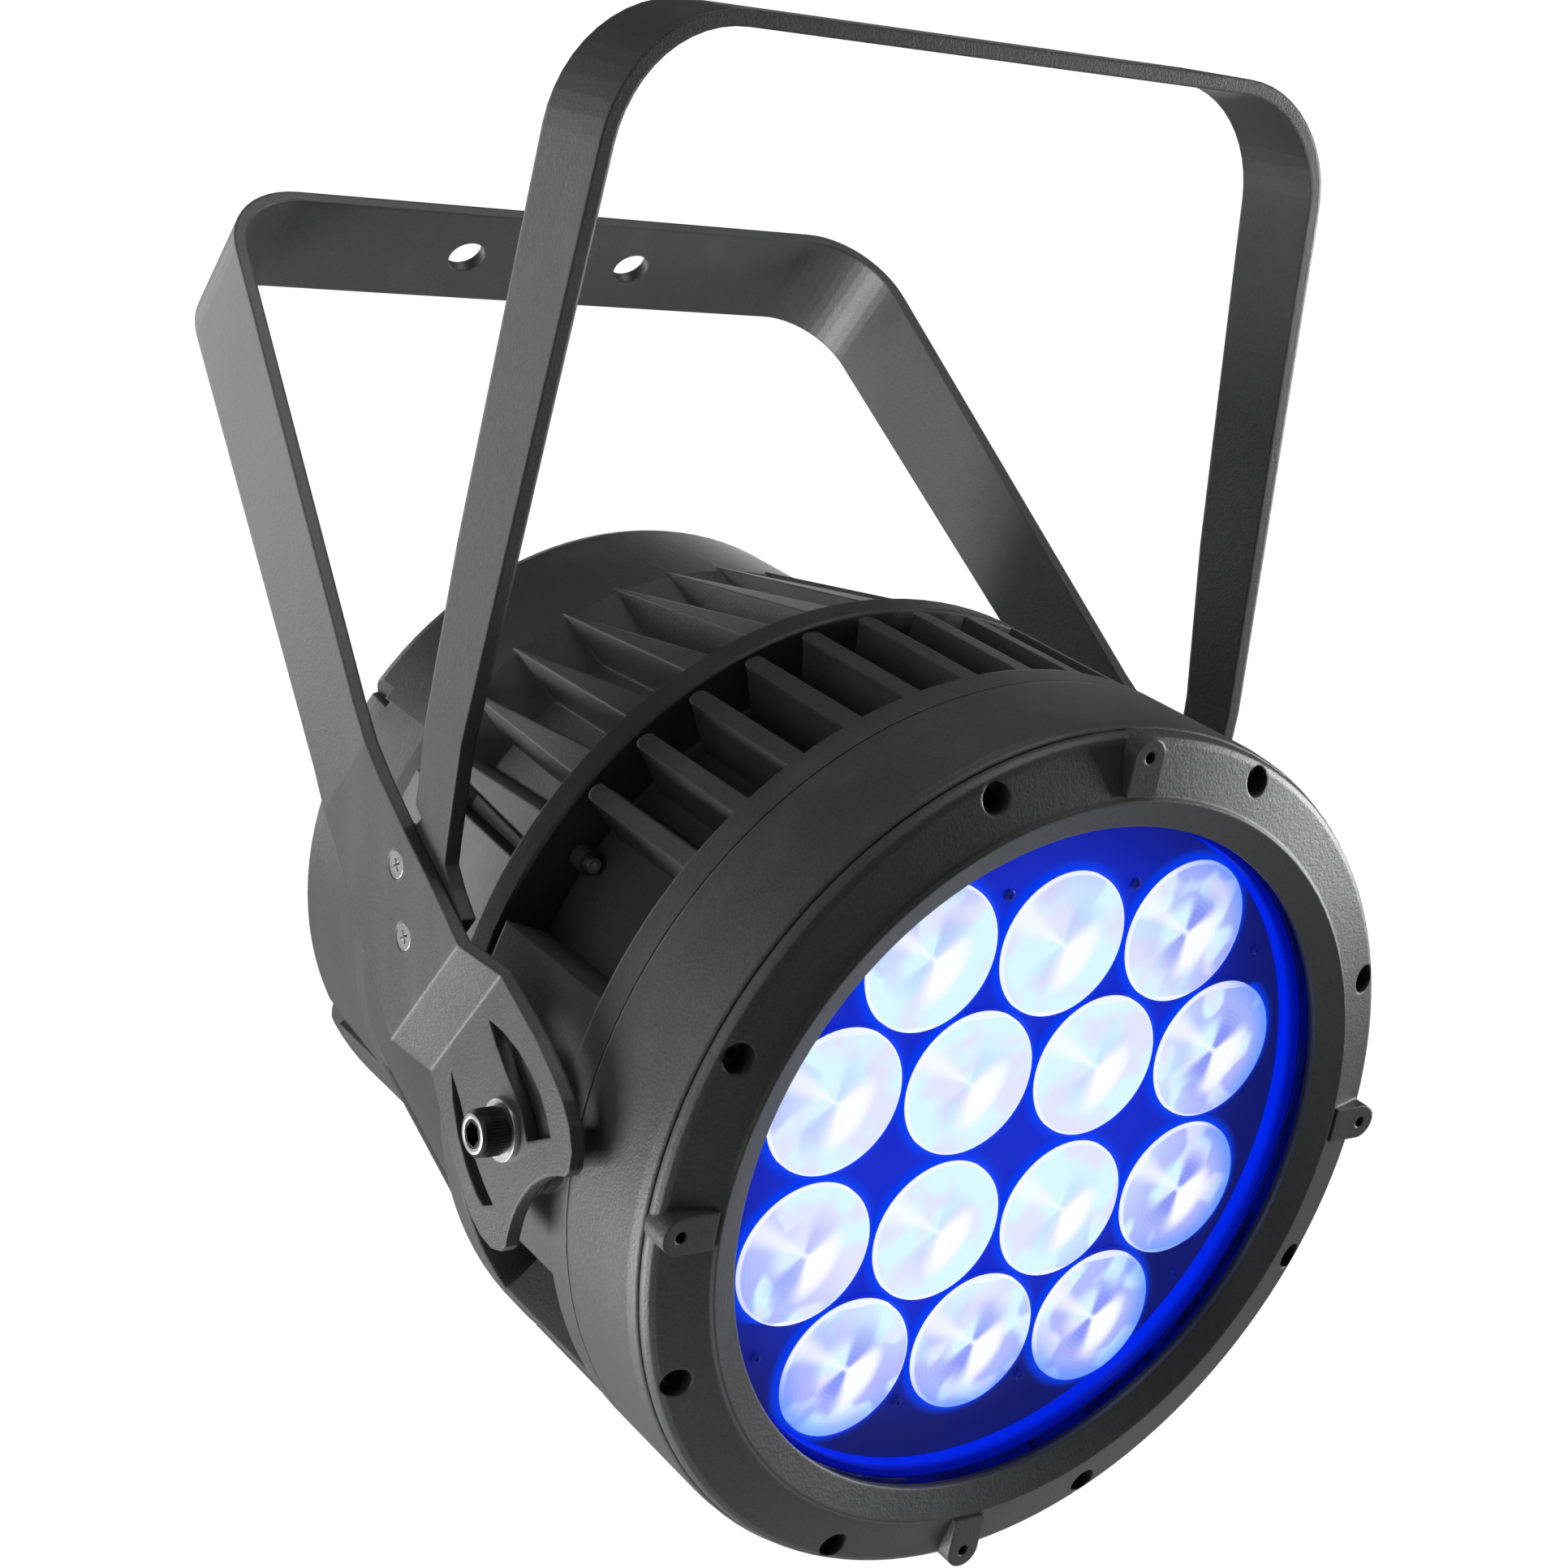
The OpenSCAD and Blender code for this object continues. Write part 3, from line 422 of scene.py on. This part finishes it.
def pick(test, kind="FACE"):
    """Selects the faces or edges whose middle and direction pass a test."""
    mesh = bmesh.from_edit_mesh(bpy.context.active_object.data)
    bpy.ops.mesh.select_mode(type=kind)
    bpy.ops.mesh.select_all(action="DESELECT")
    if kind == "FACE":
        for face in mesh.faces:
            face.select_set(test(face.calc_center_median(), face.normal))
    else:
        for edge in mesh.edges:
            first, second = (vert.co for vert in edge.verts)
            edge.select_set(test((first + second) / 2, second - first))
    mesh.select_flush_mode()
    bmesh.update_edit_mesh(bpy.context.active_object.data)


def done(piece, name, where, body, slot, look=None, smooth=30):
    """Closes the edit, puts the piece in its place in its mesh and gives it its body and finish."""
    bpy.ops.mesh.select_all(action="SELECT")
    bpy.ops.mesh.normals_make_consistent(inside=False)
    bpy.ops.object.mode_set(mode="OBJECT")
    piece.name = name
    piece.data.name = name
    piece.matrix_world = where @ Matrix.Scale(0.001, 4)
    bpy.ops.object.transform_apply(location=True, rotation=True, scale=True)
    bpy.ops.object.shade_smooth_by_angle(angle=math.radians(smooth))
    piece.data.materials.clear()
    piece.data.materials.append(look or finishes[slot])
    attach(piece, body)
    return piece


def on_head(x, y, z, turn=0.0, face_back=False):
    """The frame at a place on the head, its Z to the front, or to the back."""
    spin = Matrix.Rotation(math.radians(turn), 4, "Z")
    flip = Matrix.Rotation(math.pi, 4, "Y") if face_back else Matrix.Identity(4)
    return HEAD @ Matrix.Translation((x / 1000, y / 1000, z / 1000)) @ spin @ flip


def ring_piece(name, where, body, slot, r_in, r_out, height, round_edge, sides=64, look=None):
    """A flat ring: a disc inset on both faces, opened through the middle, with rounded edges."""
    piece = start(bpy.ops.mesh.primitive_cylinder_add, vertices=sides, radius=r_out, depth=height)
    pick(lambda c, n: abs(n.z) > 0.9)
    bpy.ops.mesh.inset(thickness=r_out - r_in, use_individual=True)
    bpy.ops.mesh.bridge_edge_loops()
    bpy.ops.mesh.select_mode(type="EDGE")
    bpy.ops.mesh.select_all(action="DESELECT")
    mesh = bmesh.from_edit_mesh(piece.data)
    for edge in mesh.edges:
        level = all(abs(abs(v.co.z) - height / 2) < 0.001 for v in edge.verts)
        round_it = abs(edge.verts[0].co.xy.length - edge.verts[1].co.xy.length) < 0.01
        edge.select_set(level and round_it)
    bmesh.update_edit_mesh(piece.data)
    bpy.ops.mesh.bevel(offset=round_edge, segments=2, affect="EDGES")
    return done(piece, name, where, body, slot, look)


def join(parts, name):
    """Makes one piece of several copies."""
    bpy.ops.object.select_all(action="DESELECT")
    for part in parts:
        part.select_set(True)
    bpy.context.view_layer.objects.active = parts[0]
    bpy.ops.object.join()
    parts[0].name = name
    parts[0].data.name = name
    return parts[0]


# ---- holder rims round the lenses ----
rims = [
    ring_piece(f"lens_rim_{i}", on_head(x, y, -1.4), "carrier", "blue_plate", 21.85, 22.7, 1.2, 0.25, 56)
    for i, (x, y) in enumerate(LENS_PLACES)
]
join(rims, "lens_rims")


# ---- pan-head screws that hold the lens plate ----
def pan_screw(name, where, body, slot, radius, height, look=None):
    """A domed screw head with a sunk six-sided drive."""
    piece = start(bpy.ops.mesh.primitive_cylinder_add, vertices=36, radius=radius, depth=height)
    pick(lambda c, n: n.z > 0.9)
    bpy.ops.mesh.inset(thickness=radius * 0.35)
    bpy.ops.transform.translate(value=(0, 0, height * 0.22))
    bpy.ops.mesh.inset(thickness=radius * 0.16)
    bpy.ops.mesh.extrude_region_move(TRANSFORM_OT_translate={"value": (0, 0, -height * 0.55)})
    mesh = bmesh.from_edit_mesh(piece.data)
    for vert in mesh.verts:
        reach = vert.co.xy.length
        if 0.01 < reach < radius * 0.5:
            turn = math.degrees(math.atan2(vert.co.y, vert.co.x)) % 60 - 30
            vert.co.xy *= math.cos(math.radians(30)) / math.cos(math.radians(turn)) * 1.04
    bmesh.update_edit_mesh(piece.data)
    return done(piece, name, where, body, slot, look)


PLATE_SCREWS = [(x * 23, y * 79) for x in (-1, 1) for y in (-1, 1)]
PLATE_SCREWS += [(x * 78, y * 54) for x in (-1, 1) for y in (-1, 1)]
lit_screw = Finish("lit_screw", Base_Color=(0.01, 0.02, 0.1), Metallic=0.6, Roughness=0.35)
lit_screw.set(lit_screw.shader, {"Emission Color": (0.003, 0.008, 0.16), "Emission Strength": 1.0})
screws = [
    pan_screw(
        f"plate_screw_{i}", on_head(x, y, -1.5), "carrier", "bright_steel", 1.7, 1.2, lit_screw.material
    )
    for i, (x, y) in enumerate(PLATE_SCREWS)
]
join(screws, "plate_screws")


# ---- knurled skirts and bright ends of the tilt bolts ----
def knurled_skirt(name, side):
    """A thin sleeve round a bolt head with every other edge pulled in."""
    where = Matrix.Translation(PIVOT) @ HEAD_TURN @ Matrix.Translation((side * 0.1444, 0, 0))
    where = where @ Matrix.Rotation(side * math.pi / 2, 4, "Y")
    piece = start(bpy.ops.mesh.primitive_cylinder_add, vertices=96, radius=6.62, depth=4.8)
    pick(lambda c, n: abs(n.z) > 0.9)
    bpy.ops.mesh.inset(thickness=0.3, use_individual=True)
    mesh = bmesh.from_edit_mesh(piece.data)
    for vert in mesh.verts:
        if vert.co.xy.length > 6.5:
            number = round(math.degrees(math.atan2(vert.co.y, vert.co.x)) / 3.75)
            if number % 2:
                vert.co.xy *= 0.965
    bmesh.update_edit_mesh(piece.data)
    pick(lambda c, n: abs(n.z) > 0.9 and c.xy.length < 1.0)
    bpy.ops.mesh.delete(type="FACE")
    return done(piece, name, where, "head", "black_steel", smooth=20)


knurled_skirt("bolt_knurl_left", -1)
knurled_skirt("bolt_knurl_right", 1)
for side, name in ((-1, "bolt_end_left"), (1, "bolt_end_right")):
    where = Matrix.Translation(PIVOT) @ HEAD_TURN @ Matrix.Translation((side * 0.1491, 0, 0))
    where = where @ Matrix.Rotation(math.pi / 2, 4, "Y")
    ring_piece(name, where, "head", "bright_steel", 4.05, 5.5, 0.3, 0.1, 48)


# ---- rear panel details ----
def plate_frame(name, x, y, wide, high, bar, thick, slot):
    """A raised rectangular frame with rounded corners."""
    piece = start(bpy.ops.mesh.primitive_cube_add, size=1.0)
    bpy.ops.mesh.select_all(action="SELECT")
    bpy.ops.transform.resize(value=(wide, high, thick))
    pick(lambda c, d: abs(d.z) > thick * 0.9, "EDGE")
    bpy.ops.mesh.bevel(offset=2.5, segments=6, affect="EDGES")
    pick(lambda c, n: abs(n.z) > 0.9)
    bpy.ops.mesh.inset(thickness=bar, use_individual=True)
    bpy.ops.mesh.bridge_edge_loops()
    return done(piece, name, on_head(x, y, CAP_BACK - 1 - thick / 2, 0, True), "head", slot)


plate_frame("display_frame", 0, 44, 60, 28, 1.7, 0.8, "black_plastic")


def blank_plate(name, x, y, wide, high, slot):
    """A thin blank plate with a sunk field and rounded corners."""
    piece = start(bpy.ops.mesh.primitive_cube_add, size=1.0)
    bpy.ops.mesh.select_all(action="SELECT")
    bpy.ops.transform.resize(value=(wide, high, 0.6))
    pick(lambda c, d: abs(d.z) > 0.5, "EDGE")
    bpy.ops.mesh.bevel(offset=1.5, segments=5, affect="EDGES")
    pick(lambda c, n: n.z > 0.9)
    bpy.ops.mesh.inset(thickness=0.9)
    bpy.ops.transform.translate(value=(0, 0, -0.15))
    return done(piece, name, on_head(x, y, CAP_BACK - 0.3, 0, True), "head", slot)


blank_plate("rating_plate", -66, 21, 34, 20, "bare_aluminium")


def key_mark(name, x, turn, sides):
    """A small raised mark above a button: a triangle, a square or a disc."""
    piece = start(bpy.ops.mesh.primitive_cylinder_add, vertices=sides, radius=1.9, depth=0.3)
    pick(lambda c, n: n.z > 0.9)
    bpy.ops.mesh.inset(thickness=0.35)
    bpy.ops.transform.translate(value=(0, 0, 0.08))
    return done(piece, name, on_head(x, 25.5, CAP_BACK - 1.1, turn, True), "head", "grey_plastic")


key_mark("mark_menu", -22.5, 45, 4)
key_mark("mark_up", -7.5, 90, 3)
key_mark("mark_down", 7.5, -90, 3)
key_mark("mark_enter", 22.5, 0, 32)


def latch(name, x, y, slot):
    """A thumb latch beside a power socket."""
    piece = start(bpy.ops.mesh.primitive_cube_add, size=1.0)
    bpy.ops.mesh.select_all(action="SELECT")
    bpy.ops.transform.resize(value=(7, 4.5, 2.4))
    pick(lambda c, n: n.z > 0.9)
    bpy.ops.mesh.inset(thickness=0.8)
    bpy.ops.mesh.extrude_region_move(TRANSFORM_OT_translate={"value": (0, 0, 0.9)})
    pick(lambda c, d: c.z > 0.8, "EDGE")
    bpy.ops.mesh.bevel(offset=0.35, segments=2, affect="EDGES")
    return done(piece, name, on_head(x, y, CAP_BACK - 3.5, 0, True), "head", slot)


latch("power_in_latch", -46, -13.2, "grey_plastic")
latch("power_out_latch", 46, -13.2, "blue_plastic")

# ---- camera ----
view = bpy.data.cameras.new("camera")
view.lens = 64.32
view.sensor_width = 36
view.clip_start = 0.02
camera = bpy.data.objects.new("camera", view)
bpy.context.collection.objects.link(camera)
camera.location = (-0.5102, -0.8419, -0.1044)
camera.rotation_euler = Vector((0.58596, 0.80632, -0.08065)).to_track_quat("-Z", "Y").to_euler()
bpy.context.scene.camera = camera


# ---- floor, sky and lights ----
MIDDLE = Vector((0.0, -0.2, -0.25))


def soft_box(name, place, size, power):
    """A square soft light aimed at the middle of the lamp."""
    lamp = bpy.data.lights.new(name, "AREA")
    lamp.shape = "RECTANGLE"
    lamp.size = size
    lamp.size_y = size
    lamp.energy = power
    holder = bpy.data.objects.new(name, lamp)
    holder.location = place
    holder.rotation_euler = (MIDDLE - Vector(place)).to_track_quat("-Z", "Y").to_euler()
    bpy.context.collection.objects.link(holder)


soft_box("key_light", (-1.4, 0.55, -1.05), 0.9, 45)
soft_box("right_light", (1.8, -0.7, -0.15), 0.7, 35)
soft_box("left_light", (-1.8, -0.2, 0.35), 1.2, 8)
soft_box("top_light", (0.35, -0.6, 1.5), 0.9, 10)
soft_box("back_light", (-0.5, 1.6, 0.2), 0.9, 7)
soft_box("right_back_light", (0.95, 1.3, 0.15), 0.9, 5)

bpy.ops.object.select_all(action="DESELECT")
below = (0, 0, cad_box[0][2] - 1.0)
bpy.ops.mesh.primitive_circle_add(vertices=96, radius=9.0, fill_type="NGON", location=below)
floor = bpy.context.active_object
floor.name = "floor"
ground = Finish("pale_floor", Roughness=0.8)
mottle = ground.noise(ground.place(), 3.0, 3.0) * 0.3
ground.set(ground.shader, {"Base Color": ground.blend(mottle, (0.62, 0.62, 0.62), (0.58, 0.58, 0.58))})
pale = ground.node("ShaderNodeEmission", {}, {"Color": (1.0, 1.0, 1.0, 1.0), "Strength": 1.05}, 0)
here = ground.node("ShaderNodeLightPath", {}, {}, "Is Camera Ray")
matt = Value(ground, ground.shader.outputs[0])
mixed = ground.node("ShaderNodeMixShader", {}, {0: here * 0.97, 1: matt, 2: pale}, 0)
ground.tree.links.new(mixed.socket, ground.output.inputs[0])
floor.data.materials.append(ground.material)

world = bpy.data.worlds.new("studio")
world.use_nodes = True
bpy.context.scene.world = world
sky = world.node_tree
back = sky.nodes["Background"]
back.inputs["Color"].default_value = (1.0, 1.0, 1.0, 1.0)
seen = sky.nodes.new("ShaderNodeLightPath")
level = sky.nodes.new("ShaderNodeMapRange")
level.inputs["To Min"].default_value = 0.06
level.inputs["To Max"].default_value = 1.05
sky.links.new(seen.outputs["Is Camera Ray"], level.inputs["Value"])
sky.links.new(level.outputs["Result"], back.inputs["Strength"])
bpy.context.scene.view_settings.view_transform = "Standard"
